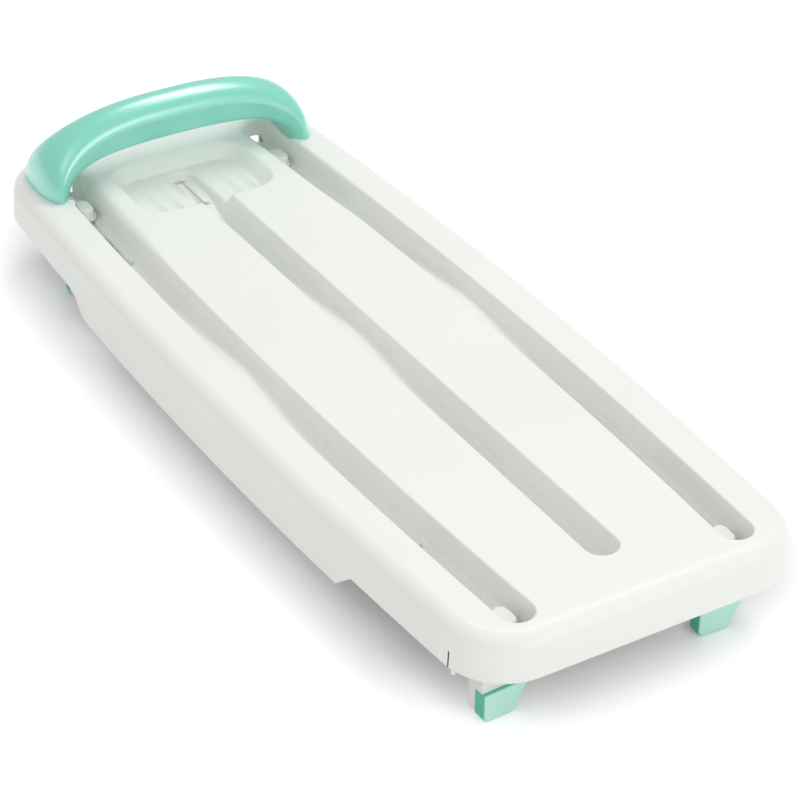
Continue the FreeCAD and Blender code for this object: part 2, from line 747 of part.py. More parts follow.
def clamp_washer(foot):
    """The steel washer between the clamp head and the groove floor."""
    place = ("0", "0", "foot_reach + wall")
    disc = primitive("Cylinder", f"{foot}_washer_disc", place,
                     Radius="washer_size / 2", Height="washer_thick")
    hole = primitive("Cylinder", f"{foot}_washer_hole", place,
                     Radius="bolt_size / 2 + slide_gap", Height="washer_thick")
    return cut(f"clamp_washer_{foot}", disc, hole)


def clamp_nut(foot):
    """The nut that the bracket's hub keeps from turning."""
    low = "foot_reach + wall + washer_thick - bolt_length + bolt_tail"
    block = hexagon(f"{foot}_nut_block", "nut_flats", "nut_height", low)
    hole = primitive("Cylinder", f"{foot}_nut_hole", ("0", "0", low),
                     Radius="bolt_size / 2 + press_gap", Height="nut_height")
    return cut(f"clamp_nut_{foot}", block, hole)


# Everything in its place
pieces = {
    "board_shell": built("board_shell", board_shell()),
    "handle": built("handle", handle()),
    "handle_screws": group("handle_screws", handle_screw),
    "handle_washers": group("handle_washers", handle_washer),
}
for foot in FEET:
    place, first, last, heading = track(foot)
    turn = math.degrees(math.atan2(heading.y, heading.x))
    for maker in (bracket, pad, clamp_head, clamp_bolt, clamp_washer, clamp_nut):
        piece = maker(foot)
        piece.Placement = FreeCAD.Placement(place, FreeCAD.Rotation(UP, turn))
        pieces[f"{maker.__name__}_{foot}"] = piece

doc.recompute()
for node, piece in pieces.items():
    piece.Label = node

failed = [thing.Name for thing in doc.Objects
          if "Invalid" in thing.State or "Error" in thing.State]
bad = [node for node, piece in pieces.items()
       if piece.Shape.isNull() or not piece.Shape.isValid() or not piece.Shape.Solids]
if failed or bad:
    raise RuntimeError(f"failed objects {failed}, bad shapes {bad}")

os.makedirs("parts", exist_ok=True)
for node, piece in pieces.items():
    piece.Shape.exportStep(f"parts/{node}.step")
    box = piece.Shape.BoundBox
    print(f"{node}: {len(piece.Shape.Solids)} solids, {piece.Shape.Volume:.0f} mm3, "
          f"x {box.XMin:.1f} to {box.XMax:.1f}, y {box.YMin:.1f} to {box.YMax:.1f}, "
          f"z {box.ZMin:.1f} to {box.ZMax:.1f}")
for foot in FEET:
    place, first, last, heading = track(foot)
    print(f"{foot}: clamp at {place.x:.3f} {place.y:.3f}, heading {heading.x:.6f} "
          f"{heading.y:.6f}, travel {(first - place).dot(heading):.3f} to "
          f"{(last - place).dot(heading):.3f}")
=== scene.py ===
import json
import math

import bmesh
import bpy
import numpy as np
from mathutils import Matrix, Vector
from mathutils.geometry import delaunay_2d_cdt


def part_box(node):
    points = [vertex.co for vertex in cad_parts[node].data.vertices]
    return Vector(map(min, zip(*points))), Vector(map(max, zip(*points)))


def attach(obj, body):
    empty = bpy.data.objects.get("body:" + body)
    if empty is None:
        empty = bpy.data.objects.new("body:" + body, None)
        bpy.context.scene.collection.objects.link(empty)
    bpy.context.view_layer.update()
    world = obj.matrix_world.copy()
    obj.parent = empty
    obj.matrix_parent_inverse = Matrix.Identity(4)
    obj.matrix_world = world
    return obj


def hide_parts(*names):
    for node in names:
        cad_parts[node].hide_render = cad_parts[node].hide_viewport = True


# A white bath board with a mint handle and four sliding feet, on a white studio floor.
# Lengths in this script are millimetres, and MM turns them into Blender's metres.

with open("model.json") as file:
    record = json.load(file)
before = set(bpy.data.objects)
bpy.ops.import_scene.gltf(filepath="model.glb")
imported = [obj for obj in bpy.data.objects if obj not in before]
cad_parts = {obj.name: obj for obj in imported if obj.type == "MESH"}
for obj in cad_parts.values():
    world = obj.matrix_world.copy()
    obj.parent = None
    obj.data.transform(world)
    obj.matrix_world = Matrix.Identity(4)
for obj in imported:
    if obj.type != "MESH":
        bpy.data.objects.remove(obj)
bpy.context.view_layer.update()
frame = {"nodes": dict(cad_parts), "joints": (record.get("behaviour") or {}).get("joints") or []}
nodes = frame["nodes"]
FEET = ("near_left", "near_right", "far_left", "far_right")
MM = 0.001

# The board's outline, skirt and top; its corners are rounder than its solid's
HALF_LENGTH = 350.0
HALF_WIDTH = 135.0
SIDE_BOW = 14.0
SOLID_CORNER = 36.0
NEAR_CORNER = 42.0
FAR_CORNER = 52.0
CORNER_STEP = math.radians(6.5)
EDGE = 12.0
WALL = 3.0
LEAN = math.radians(3.0)
SEAT = 85.0
BRIM = SEAT - EDGE
RIM_LOW = 54.0
SKIRT_LOW = 40.0
STEP_LOW = 194.0
STEP_HIGH = 211.0
CURVE_HEAD = -199.0
CURVE_FOOT = -164.0
SLIT = 314.0
SLIT_WIDTH = 1.2
SLIT_TOP = 66.0
PIP = 317.6
PIP_LENGTH = 1.8
PIP_DROP = 3.2
HAIR = 0.05
RIM_ROUND = 0.8

# The grooves and the recess
GROOVE_HALF = 11.5
GROOVE_LINE = 91.0
GROOVE_BOW = 11.5
GROOVE_FLOOR = 63.0
OUTER_FAR = -300.5
OUTER_NEAR = 321.5
CENTRE_FAR = -270.5
CENTRE_NEAR = 292.5
CREST = -12.0
CREST_RISE = 9.0
CREST_REACH = 125.0
CREST_BLEND = 16.0
FOOT_BLEND = 10.0
RECESS_BACK = -286.0
RECESS_FRONT = -221.0
RECESS_HALF = 48.0
RECESS_ROUND = 14.0
RECESS_FLOOR = 74.0
RECESS_LEAN = math.radians(38.0)
DRAIN_RISE = 5.0
DRAIN_RAMP = 24.0
CHANNEL_FAR = -276.0
CHANNEL_PLACES = (-38.5, -25.5, 25.5, 38.5)
CHANNEL_RADIUS = 7.0
CHANNEL_DROP = 4.0
SLOT_HALF = 4.6
SOAP_SLOT_HALF = 2.5
SOAP_SLOT = (-276.5, -237.5)
WINDOW_HALF = 7.5
WINDOW_TOP = 72.0

# Small radii and draft of the moulding, which only the looks need
GROOVE_LEAN = math.radians(1.5)
NEAR_RIM = 1.4
FAR_RIM = 3.0
SOFT_RIM = 7.5
RIM_CHANGE = (-215.0, -120.0)
GROOVE_TOE = 1.8
RECESS_RIM = 3.4
RECESS_TOE = 2.0
CHANNEL_BLEND = 1.4
MARGIN = 0.5
GRID_ALONG = 1.6
GRID_ACROSS = 0.9
MERGE = 0.004
PLAN_MERGE = 1e-5
INSIDE_EDGES = 1

# Shares of an arc and of a wall at which rings of points lie
ARC_SHARES = np.linspace(0.0, 1.0, 6)
WALL_SHARES = (0.3, 0.61)
THIRDS = (0, 1 / 3, 2 / 3, 1)
QUARTER = math.pi / 2

# Steps between points along an outline, and numbers of points round its arcs
BOARD_STEP = 8
GROOVE_STEP = 7
CENTRE_STEP = 5
SLOT_STEP = 6
HEAD_STEP = 4
RECESS_STEP = 2.5
EDGE_POINTS = 11
CURVE_POINTS = 13
CREST_POINTS = 7
FAR_CORNER_POINTS = 16
RECESS_CORNER_POINTS = 12
BAR_END_POINTS = 16
GROOVE_END_POINTS = 18
BESIDE_WINDOW_POINTS = 6
WINDOW_POINTS = 9
RECESS_WALL_POINTS = 17

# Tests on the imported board's faces, and angles up to which edges are shaded smooth
PROBE = 1.2
KEY_SPARE = 4.5
TINY = 1e-9
SMOOTH_BOARD = math.radians(34)
SMOOTH_HANDLE = math.radians(50)
SMOOTH_PARTS = math.radians(30)

side_radius = (HALF_LENGTH ** 2 + SIDE_BOW ** 2) / (2 * SIDE_BOW)
side_middle = HALF_WIDTH - side_radius
line_radius = (HALF_LENGTH ** 2 + GROOVE_BOW ** 2) / (2 * GROOVE_BOW)
line_middle = GROOVE_LINE - line_radius


def corner_centre(radius):
    """Where a corner's arc is centred, and the angle at which it meets the side's arc."""
    x = HALF_LENGTH - radius
    y = side_middle + math.sqrt((side_radius - radius) ** 2 - x ** 2)
    return x, y, math.atan2(x, y - side_middle)


def s_curve(along, start, end, high, low):
    """A level that falls from high to low along two equal arcs."""
    run, drop = end - start, high - low
    radius = (run ** 2 + drop ** 2) / (4 * drop)
    reach = np.clip(along, start, end) - start
    crown = high - radius + np.sqrt(radius ** 2 - np.minimum(reach, run / 2) ** 2)
    dip = low + radius - np.sqrt(radius ** 2 - np.minimum(run - reach, run / 2) ** 2)
    return np.where(reach < run / 2, crown, dip)


def skirt_level(along):
    """The skirt's lower edge, shallow over the rims and deep between them."""
    far = s_curve(along, CURVE_HEAD, CURVE_FOOT, RIM_LOW, SKIRT_LOW)
    share = np.clip((along - STEP_LOW) / (STEP_HIGH - STEP_LOW), 0, 1)
    level = far + share * (RIM_LOW - SKIRT_LOW)
    on_pip = (along > PIP) & (along < PIP + PIP_LENGTH)
    return np.where(on_pip, RIM_LOW - PIP_DROP, level)


def ease(share):
    """A share from nought to one that starts and ends softly."""
    return share ** 2 * (3 - 2 * share)


def soft_bend(along, place, blend):
    """Nought before a place and a unit slope after it, with a soft bend between."""
    reach = along - place
    bend = (reach + blend) ** 2 / (4 * blend)
    return np.where(reach < -blend, 0, np.where(reach > blend, reach, bend))


def crest_level(along):
    """How far the groove floors rise towards the crest at mid length."""
    slope = CREST_RISE / CREST_REACH
    return slope * (soft_bend(along, CREST - CREST_REACH, FOOT_BLEND)
                    - 2 * soft_bend(along, CREST, CREST_BLEND)
                    + soft_bend(along, CREST + CREST_REACH, FOOT_BLEND))


def centre_floor(along):
    """The centre groove's floor, which is higher inside the recess."""
    share = np.clip((RECESS_FRONT - along) / DRAIN_RAMP, 0, 1)
    return GROOVE_FLOOR + crest_level(along) + share * DRAIN_RISE


def outer_floor(along):
    """The outer grooves' floor."""
    return GROOVE_FLOOR + crest_level(along)


# Distances in plan, positive outside the shape


def in_corner(across, along, spoke):
    """Whether places, measured from a corner's centre, lie on its arc's side."""
    return (across > 0) & (along > 0) & (along * math.sin(spoke) <= across)


def outline_gap(x, y):
    """Distance from the solid board's outline."""
    x, y = np.abs(x), np.abs(y)
    side = np.hypot(x, y - side_middle) - side_radius
    corner_x, corner_y, spoke = corner_centre(SOLID_CORNER)
    across, along = x - corner_x, y - corner_y
    return np.where(in_corner(across, along, spoke), np.hypot(across, along) - SOLID_CORNER,
                    np.maximum(side, x - HALF_LENGTH))


def off_groove_line(x, y):
    """Offset outwards of the nearer outer groove's line, and reach and way out from its end."""
    y = np.abs(y)
    ring = np.hypot(x, y - line_middle)
    along = x * line_radius / ring
    end = np.clip(along, OUTER_FAR, OUTER_NEAR)
    end_y = line_middle + np.sqrt(line_radius ** 2 - end ** 2)
    return ring - line_radius, along != end, np.hypot(x - end, y - end_y), y - end_y


def outer_gap(x, y):
    """Distance from the nearer outer groove's upright edge."""
    offset, past_end, reach, _ = off_groove_line(x, y)
    return np.where(past_end, reach, np.abs(offset)) - GROOVE_HALF


def seat_side(x, y):
    """One on the outer grooves' sides towards the seat, and nought on those towards the skirt."""
    offset, past_end, reach, out = off_groove_line(x, y)
    outward = np.where(past_end, out / np.maximum(reach, TINY), np.sign(offset))
    return (1 - outward) / 2


def bar_gap(x, y, start, end, reach):
    """Distance from a bar with round ends between two points."""
    run = end - start
    share = np.clip(((x - start.x) * run.x + (y - start.y) * run.y) / run.length_squared, 0, 1)
    return np.hypot(x - start.x - share * run.x, y - start.y - share * run.y) - reach


def centre_gap(x, y):
    """Distance from the centre groove's upright edge."""
    return bar_gap(x, y, Vector((CENTRE_FAR, 0)), Vector((CENTRE_NEAR, 0)), GROOVE_HALF)


def recess_gap(x, y):
    """Distance from the outline of the recess's floor."""
    middle = (RECESS_BACK + RECESS_FRONT) / 2
    half = (RECESS_FRONT - RECESS_BACK) / 2
    across = np.abs(x - middle) - half + RECESS_ROUND
    along = np.abs(y) - RECESS_HALF + RECESS_ROUND
    outside = np.hypot(np.maximum(across, 0), np.maximum(along, 0))
    return outside + np.minimum(np.maximum(across, along), 0) - RECESS_ROUND


# Levels of the pockets in the top


def section_places(top, floor, ref, lean, rim, toe):
    """Where a pocket's rim arc and toe arc are centred, outwards of the wall's foot line."""
    crown = (rim + (top - rim - ref) * math.sin(lean)) / math.cos(lean)
    root = ((floor + toe - ref) * math.sin(lean) - toe) / math.cos(lean)
    return crown, root


def section(out, top, floor, ref, lean, rim, toe):
    """A pocket's level at a distance outwards of its wall's foot line."""
    crown, root = section_places(top, floor, ref, lean, rim, toe)
    level = ref + out / math.tan(lean)
    rim_arc = top - rim + np.sqrt(np.maximum(rim ** 2 - (out - crown) ** 2, 0))
    toe_arc = floor + toe - np.sqrt(np.maximum(toe ** 2 - (out - root) ** 2, 0))
    level = np.where(out > crown - rim * math.cos(lean), rim_arc, level)
    level = np.where(out >= crown, top, level)
    level = np.where(out < root + toe * math.cos(lean), toe_arc, level)
    return np.where(out <= root, floor, level)


def groove_shape(along, soft=0.0):
    """The groove wall's measures, with a softer rim at the far end."""
    start, end = RIM_CHANGE
    share = np.clip((along - start) / (end - start), 0, 1)
    far_rim = FAR_RIM + (SOFT_RIM - FAR_RIM) * soft
    rim = far_rim + (NEAR_RIM - far_rim) * ease(share)
    return GROOVE_FLOOR, GROOVE_LEAN, rim, GROOVE_TOE


RECESS_SHAPE = (RECESS_FLOOR, RECESS_LEAN, RECESS_RIM, RECESS_TOE)
groove_shift = (SEAT - GROOVE_FLOOR) * math.tan(GROOVE_LEAN)


def soft_min(a, b, blend):
    """The lower of two levels, with a soft edge where they meet."""
    share = np.maximum(blend - np.abs(a - b), 0) / blend
    return np.minimum(a, b) - share ** 2 * blend / 4


def recess_floor(x, y):
    """The recess's floor with its scooped channels."""
    level = np.full(np.shape(x), RECESS_FLOOR)
    share = (x - CHANNEL_FAR) / (RECESS_FRONT - CHANNEL_FAR)
    axis = RECESS_FLOOR + CHANNEL_RADIUS - CHANNEL_DROP * np.maximum(share, 0)
    for place in CHANNEL_PLACES:
        across = np.minimum(np.abs(y - place), CHANNEL_RADIUS)
        scoop = axis - np.sqrt(CHANNEL_RADIUS ** 2 - across ** 2)
        level = soft_min(level, scoop, CHANNEL_BLEND)
    return level


def recess_level(x, y):
    """The top with the recess, but without the grooves."""
    return section(recess_gap(x, y), SEAT, recess_floor(x, y), *RECESS_SHAPE)


def surface(x, y):
    """The whole upper surface."""
    shape = groove_shape(x)
    level = recess_level(x, y)
    floor = np.minimum(centre_floor(x), level - MARGIN)
    level = section(centre_gap(x, y) + groove_shift, level, floor, *shape)
    outer_shape = groove_shape(x, seat_side(x, y))
    outer = section(outer_gap(x, y) + groove_shift, SEAT, outer_floor(x), *outer_shape)
    return np.minimum(level, outer)


# Closed loops of points with their outward normals


def arc_at(centre, radius, angles):
    """Points and normals of an arc at some angles."""
    normals = np.stack([np.cos(angles), np.sin(angles)], -1)
    return np.array(centre) + radius * normals, normals


def end_arc(centre, radius, first, last, steps):
    """Points and normals along an arc, without its last point."""
    return arc_at(centre, radius, np.linspace(first, last, steps, endpoint=False))


def joined(*runs):
    """Several runs of points and normals as one loop."""
    return np.concatenate([run[0] for run in runs]), np.concatenate([run[1] for run in runs])


def spaced(low, high, step, special=()):
    """Evenly spaced places with some special ones among them."""
    places = np.linspace(low, high, int(round((high - low) / step)) + 1)
    special = np.array([place for place in special if low < place < high])
    if len(special):
        clear = np.abs(places[:, None] - special[None]).min(1) > step / 3
        places = np.sort(np.concatenate([places[clear], special]))
    return places


def board_loop():
    """The board's outline, anticlockwise from the middle of the near end."""
    near_x, near_y, near_spoke = corner_centre(NEAR_CORNER)
    far_x, far_y, far_spoke = corner_centre(FAR_CORNER)

    def end_line(reach):
        places = spaced(0, reach, BOARD_STEP)[:-1]
        flat = np.tile([1.0, 0.0], (len(places), 1))
        return np.stack([np.full(places.shape, HALF_LENGTH), places], -1), flat

    specials = [SLIT, SLIT + SLIT_WIDTH, PIP - HAIR, PIP + HAIR, PIP + PIP_LENGTH - HAIR,
                PIP + PIP_LENGTH + HAIR, STEP_LOW, STEP_HIGH,
                *np.linspace(CURVE_HEAD, CURVE_FOOT, CURVE_POINTS)]
    side_places = spaced(-side_radius * math.sin(far_spoke), side_radius * math.sin(near_spoke),
                         BOARD_STEP, specials)[::-1]
    turn = np.arcsin(side_places / side_radius)
    side_normals = np.stack([np.sin(turn), np.cos(turn)], -1)
    side = np.array([0, side_middle]) + side_radius * side_normals
    on_corner = [place for place in specials if place > near_x + NEAR_CORNER * math.sin(near_spoke)]
    turns = spaced(0, QUARTER - near_spoke, CORNER_STEP,
                   [math.acos((place - near_x) / NEAR_CORNER) for place in on_corner])
    corner = arc_at((near_x, near_y), NEAR_CORNER, turns[:-1])
    far_corner = end_arc((-far_x, far_y), FAR_CORNER, QUARTER + far_spoke, math.pi,
                         FAR_CORNER_POINTS)
    far_corner = far_corner[0][1:], far_corner[1][1:]
    far_end = end_line(far_y)
    far_start = np.array([[-HALF_LENGTH, far_y]]), np.array([[-1.0, 0.0]])
    far_end = far_end[0][::-1] * [-1, 1], far_end[1][::-1] * [-1, 1]
    half = joined(end_line(near_y), corner, (side, side_normals), far_corner, far_start, far_end)
    other = half[0][::-1] * [1, -1], half[1][::-1] * [1, -1]
    other = other[0][1:-1], other[1][1:-1]
    return joined(half, other)


def groove_loop(side):
    """An outer groove's outline, from its near end along its outer edge."""
    specials = np.linspace(CREST - CREST_BLEND, CREST + CREST_BLEND, CREST_POINTS)
    along = spaced(OUTER_FAR, OUTER_NEAR, GROOVE_STEP, specials)
    turn = np.arcsin(along / line_radius)
    normals = np.stack([np.sin(turn), np.cos(turn)], -1)
    line = np.array([0, line_middle]) + line_radius * normals
    tilt_far, tilt_near = turn[0], turn[-1]
    gap = math.asin(WINDOW_HALF / GROOVE_HALF)
    far_angles = np.concatenate([
        np.linspace(QUARTER, math.pi - gap, BESIDE_WINDOW_POINTS)[1:],
        np.linspace(math.pi - gap, math.pi + gap, WINDOW_POINTS)[1:],
        np.linspace(math.pi + gap, 3 * QUARTER, BESIDE_WINDOW_POINTS)[1:-1]]) - tilt_far
    near_angles = np.linspace(-QUARTER, QUARTER, GROOVE_END_POINTS)[1:-1] - tilt_near
    far_normals = np.stack([np.cos(far_angles), np.sin(far_angles)], -1)
    near_normals = np.stack([np.cos(near_angles), np.sin(near_angles)], -1)
    loop = joined((line[::-1] + GROOVE_HALF * normals[::-1], normals[::-1]),
                  (line[0] + GROOVE_HALF * far_normals, far_normals),
                  (line - GROOVE_HALF * normals, -normals),
                  (line[-1] + GROOVE_HALF * near_normals, near_normals))
    return loop[0] * [1, side], loop[1] * [1, side]


def bar_loop(start, end, reach, step, special=()):
    """The outline of a bar with round ends, with special places along it."""
    run = end - start
    tilt = math.atan2(run.y, run.x)
    normal = np.array([run.y, -run.x]) / run.length
    heading = np.array(run) / run.length
    places = spaced(0, run.length, step, special)[:, None]
    line = np.array(start) + heading * places
    flat = np.tile(normal, (len(places), 1))
    return joined((line[:-1] + reach * normal, flat[:-1]),
                  end_arc(end, reach, tilt - QUARTER, tilt + QUARTER, BAR_END_POINTS),
                  (line[:0:-1] - reach * normal, -flat[:0:-1]),
                  end_arc(start, reach, tilt + QUARTER, tilt + 3 * QUARTER, BAR_END_POINTS))


def recess_loop():
    """The outline of the recess's floor."""
    x0, x1 = RECESS_BACK + RECESS_ROUND, RECESS_FRONT - RECESS_ROUND
    y1 = RECESS_HALF - RECESS_ROUND
    corners = (((x1, y1), 0), ((x0, y1), 1), ((x0, -y1), 2), ((x1, -y1), 3))
    runs = []
    for index, (centre, turn) in enumerate(corners):
        start, end = turn * QUARTER, (turn + 1) * QUARTER
        arc = end_arc(centre, RECESS_ROUND, start, end, RECESS_CORNER_POINTS)
        normal = np.array([math.cos(end), math.sin(end)])
        first = np.array(centre) + RECESS_ROUND * normal
        last = np.array(corners[(index + 1) % 4][0]) + RECESS_ROUND * normal
        count = max(2, int(np.hypot(*(last - first)) / RECESS_STEP))
        shares = np.linspace(0, 1, count, endpoint=False)[:, None]
        runs += [arc, (first + (last - first) * shares, np.tile(normal, (count, 1)))]
    return joined(*runs)


def pocket_rings(loop, top, floor, shape, shift=0.0):
    """Rings of points down a pocket's wall, from round its rim to its floor."""
    ref, lean, rim, toe = shape
    points, normals = loop
    top = top + 0 * points[:, 0]
    crown, root = section_places(top, floor, ref, lean, rim, toe)
    turn = QUARTER - lean
    outs = [crown + MARGIN]
    outs += [crown - rim * math.sin(share * turn) for share in ARC_SHARES]
    upper, lower = outs[-1], root + toe * math.sin(turn)
    outs += [upper + (lower - upper) * share for share in WALL_SHARES]
    outs += [root + toe * math.sin(share * turn) for share in ARC_SHARES[::-1]]
    outs += [root - MARGIN]
    return [points + normals * (out - shift)[:, None] for out in outs]


def foot_track(foot):
    """Innermost and outermost places of a foot's clamp, from the record's joint."""
    joint = next(j for j in frame["joints"] if j["name"] == f"foot_slide_{foot}")
    low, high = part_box(f"clamp_head_{foot}")
    rest = Vector(((low + high) / 2).xy) / MM
    heading = Vector(joint["axis"][:2])
    inner, outer = (rest + heading * (travel / MM) for travel in joint["range_m"])
    return inner, outer, heading


def slot_bars():
    """The slots in the groove floors and in the recess, as start, end and half width."""
    bars = []
    for foot in FEET:
        inner, outer, heading = foot_track(foot)
        bars.append((inner - heading * KEY_SPARE, outer + heading * KEY_SPARE, SLOT_HALF))
    bars.append((Vector((SOAP_SLOT[0], 0)), Vector((SOAP_SLOT[1], 0)), SOAP_SLOT_HALF))
    return bars


# Meshes


def make_object(name, points, faces, material, smooth_angle=SMOOTH_BOARD):
    """A mesh object from points in millimetres, shaded smooth up to an angle."""
    mesh = bpy.data.meshes.new(name)
    mesh.from_pydata((np.asarray(points, float) * MM).tolist(), [], faces)
    mesh.validate()
    form = bmesh.new()
    form.from_mesh(mesh)
    bmesh.ops.remove_doubles(form, verts=form.verts, dist=MERGE * MM)
    form.to_mesh(mesh)
    form.free()
    mesh.shade_smooth()
    mesh.set_sharp_from_angle(angle=smooth_angle)
    mesh.materials.append(material)
    thing = bpy.data.objects.new(name, mesh)
    bpy.context.scene.collection.objects.link(thing)
    return thing


def ring_faces(rows, count, start=0, keep=None):
    """Four-sided faces between closed rings of equally many points."""
    faces = []
    for row in range(rows - 1):
        for place in range(count):
            after = (place + 1) % count
            if keep is None or keep(row, place):
                faces.append((start + row * count + place, start + row * count + after,
                              start + (row + 1) * count + after, start + (row + 1) * count + place))
    return faces


def skirt_rings(loop):
    """Rings from just inside the board's top edge down the skirt and under its rim."""
    points, normals = loop
    low = skirt_level(points[:, 0])
    slope = math.tan(LEAN)
    centre = -EDGE / math.cos(LEAN)
    turn = QUARTER - LEAN
    rings = [(centre - MARGIN, SEAT)]
    for share in np.linspace(0, 1, EDGE_POINTS):
        rings.append((centre + EDGE * math.sin(share * turn),
                      BRIM + EDGE * math.cos(share * turn)))
    for share in THIRDS:
        level = SLIT_TOP + (low + RIM_ROUND - SLIT_TOP) * share
        rings.append(((BRIM - level) * slope, level))
    for share in THIRDS[1:]:
        angle = share * QUARTER
        rings.append(((BRIM - low) * slope - RIM_ROUND + RIM_ROUND * math.cos(angle),
                      low + RIM_ROUND - RIM_ROUND * math.sin(angle)))
    rings.append(((BRIM - low) * slope - WALL, low))
    ones = np.ones(len(points))
    return [np.column_stack([points + normals * (out * ones)[:, None], level * ones])
            for out, level in rings]


# The ring at the slit's top: one inside the edge, then those round it
SLIT_RING = 1 + EDGE_POINTS


def skin_reach(z):
    """How far the outer surface lies outside the outline at a level."""
    out = (BRIM - z) * math.tan(LEAN)
    rounded = np.sqrt(np.maximum(EDGE ** 2 - np.maximum(z - BRIM, 0) ** 2, 0))
    return np.where(z > BRIM, np.minimum(rounded - EDGE / math.cos(LEAN), out), out)


def below_skin(points):
    """Whether points are under the solid board's outer surface."""
    x, y, z = points.T
    inside = outline_gap(x, y) < skin_reach(z)
    return inside & (z < surface(x, y)) & (z > skirt_level(x))


def within_corners(points):
    """Points of the underside, with those outside the rounder corners' walls moved in."""
    x, y, z = points.T
    for end, radius in ((1, NEAR_CORNER), (-1, FAR_CORNER)):
        corner_x, corner_y, spoke = corner_centre(radius)
        across, along = x * end - corner_x, np.abs(y) - corner_y
        beside = in_corner(across, along, spoke)
        reach = np.maximum(np.hypot(across, along), TINY)
        share = np.where(beside, np.minimum((radius + skin_reach(z) - WALL) / reach, 1), 1)
        x = np.where(beside, end * (corner_x + across * share), x)
        y = np.where(beside, np.sign(y) * (corner_y + along * share), y)
    return np.column_stack([x, y, z])


def inner_faces(node):
    """The CAD board's faces that lie inside the new outer skin: its underside and openings."""
    mesh = nodes[node].data
    mesh.calc_loop_triangles()
    count = len(mesh.loop_triangles)
    corners = np.zeros(count * 3, np.int64)
    mesh.loop_triangles.foreach_get("vertices", corners)
    corners = corners.reshape(-1, 3)
    places = np.zeros(len(mesh.vertices) * 3)
    mesh.vertices.foreach_get("co", places)
    places = places.reshape(-1, 3) / MM
    a, b, c = (places[corners[:, k]] for k in range(3))
    normals = np.cross(b - a, c - a)
    normals /= np.maximum(np.linalg.norm(normals, axis=1, keepdims=True), TINY)
    probe = (a + b + c) / 3 + normals * PROBE
    kept = corners[below_skin(probe)]
    used, index = np.unique(kept, return_inverse=True)
    return within_corners(places[used]), index.reshape(-1, 3)


def board_skin():
    """Points and faces of the board's top, its pockets and its skirt."""
    loop = board_loop()
    rings = skirt_rings(loop)
    count = len(loop[0])
    x = loop[0][:, 0]

    def solid(row, place):
        low_x = min(x[place], x[(place + 1) % count])
        in_slit = SLIT - MERGE < low_x < SLIT + SLIT_WIDTH - MERGE
        return row < SLIT_RING or not in_slit

    points = np.concatenate(rings)
    faces = ring_faces(len(rings), count, keep=solid)

    plan, edges = [], []

    def add_loop(ring):
        start = sum(len(block) for block in plan)
        plan.append(ring)
        edges.extend((start + k, start + (k + 1) % len(ring)) for k in range(len(ring)))

    add_loop(rings[0][:, :2])
    for side in (1, -1):
        groove = groove_loop(side)
        along = groove[0][:, 0]
        shape = groove_shape(along, (1 - groove[1][:, 1] * side) / 2)
        for ring in pocket_rings(groove, SEAT, outer_floor(along), shape, groove_shift):
            add_loop(ring)
    recess = recess_loop()
    inside = recess[0] - recess[1] * RECESS_RIM
    for ring in pocket_rings(recess, SEAT, recess_floor(inside[:, 0], inside[:, 1]), RECESS_SHAPE):
        add_loop(ring)
    by_wall = np.linspace(RECESS_FRONT - 3 * RECESS_TOE, RECESS_FRONT + 4 * RECESS_RIM,
                          RECESS_WALL_POINTS)
    centre = bar_loop(Vector((CENTRE_FAR, 0)), Vector((CENTRE_NEAR, 0)), GROOVE_HALF, CENTRE_STEP,
                      by_wall - CENTRE_FAR)
    shape = groove_shape(centre[0][:, 0])
    beside = centre[0] + centre[1] * shape[2][:, None]
    for ring in pocket_rings(centre, recess_level(beside[:, 0], beside[:, 1]),
                             centre_floor(centre[0][:, 0]), shape, groove_shift):
        add_loop(ring)
    bars = slot_bars()
    for start, end, reach in bars:
        add_loop(bar_loop(start, end, reach, SLOT_STEP)[0])

    grid_x, grid_y = np.meshgrid(np.arange(RECESS_BACK, RECESS_FRONT, GRID_ALONG),
                                 np.arange(-RECESS_HALF, RECESS_HALF, GRID_ACROSS))
    inside = recess_gap(grid_x, grid_y) < -RECESS_TOE - MARGIN
    inside &= centre_gap(grid_x, grid_y) > FAR_RIM + 2 * MARGIN
    plan.append(np.stack([grid_x[inside], grid_y[inside]], -1))

    flat = [Vector(place) for place in np.concatenate(plan)]
    verts, _, triangles, *_ = delaunay_2d_cdt(flat, edges, [], INSIDE_EDGES, PLAN_MERGE)
    plan_x, plan_y = np.array(verts).T
    level = surface(plan_x, plan_y)
    corners = np.array(triangles)
    mid_x, mid_y, mid_z = (axis[corners].mean(1) for axis in (plan_x, plan_y, level))
    keep = np.ones(len(corners), bool)
    for start, end, reach in bars:
        keep &= bar_gap(mid_x, mid_y, start, end, reach) > 0
    in_window = (mid_x < OUTER_FAR) & (outer_gap(mid_x, mid_y) > -GROOVE_TOE)
    window_y = np.abs(np.abs(mid_y) - (line_middle + math.sqrt(line_radius ** 2 - OUTER_FAR ** 2)))
    in_window &= (window_y < WINDOW_HALF) & (mid_z < WINDOW_TOP)
    in_window &= mid_z > GROOVE_FLOOR + GROOVE_TOE
    keep &= ~in_window
    corners = corners[keep]
    start = len(points)
    points = np.concatenate([points, np.column_stack([plan_x, plan_y, level])])
    faces += [tuple(int(v) + start for v in face) for face in corners]
    return points, faces


# Materials


def new_material(name, base, roughness):
    """A principled material and its nodes."""
    material = bpy.data.materials.new(name)
    material.use_nodes = True
    tree = material.node_tree
    shader = tree.nodes["Principled BSDF"]
    shader.inputs["Base Color"].default_value = (*base, 1)
    shader.inputs["Roughness"].default_value = roughness
    return material, tree, shader


def noise(tree, scale, detail):
    """A noise texture in the object's own coordinates."""
    place = tree.nodes.new("ShaderNodeTexCoord")
    texture = tree.nodes.new("ShaderNodeTexNoise")
    texture.inputs["Scale"].default_value = scale
    texture.inputs["Detail"].default_value = detail
    tree.links.new(place.outputs["Object"], texture.inputs["Vector"])
    return texture


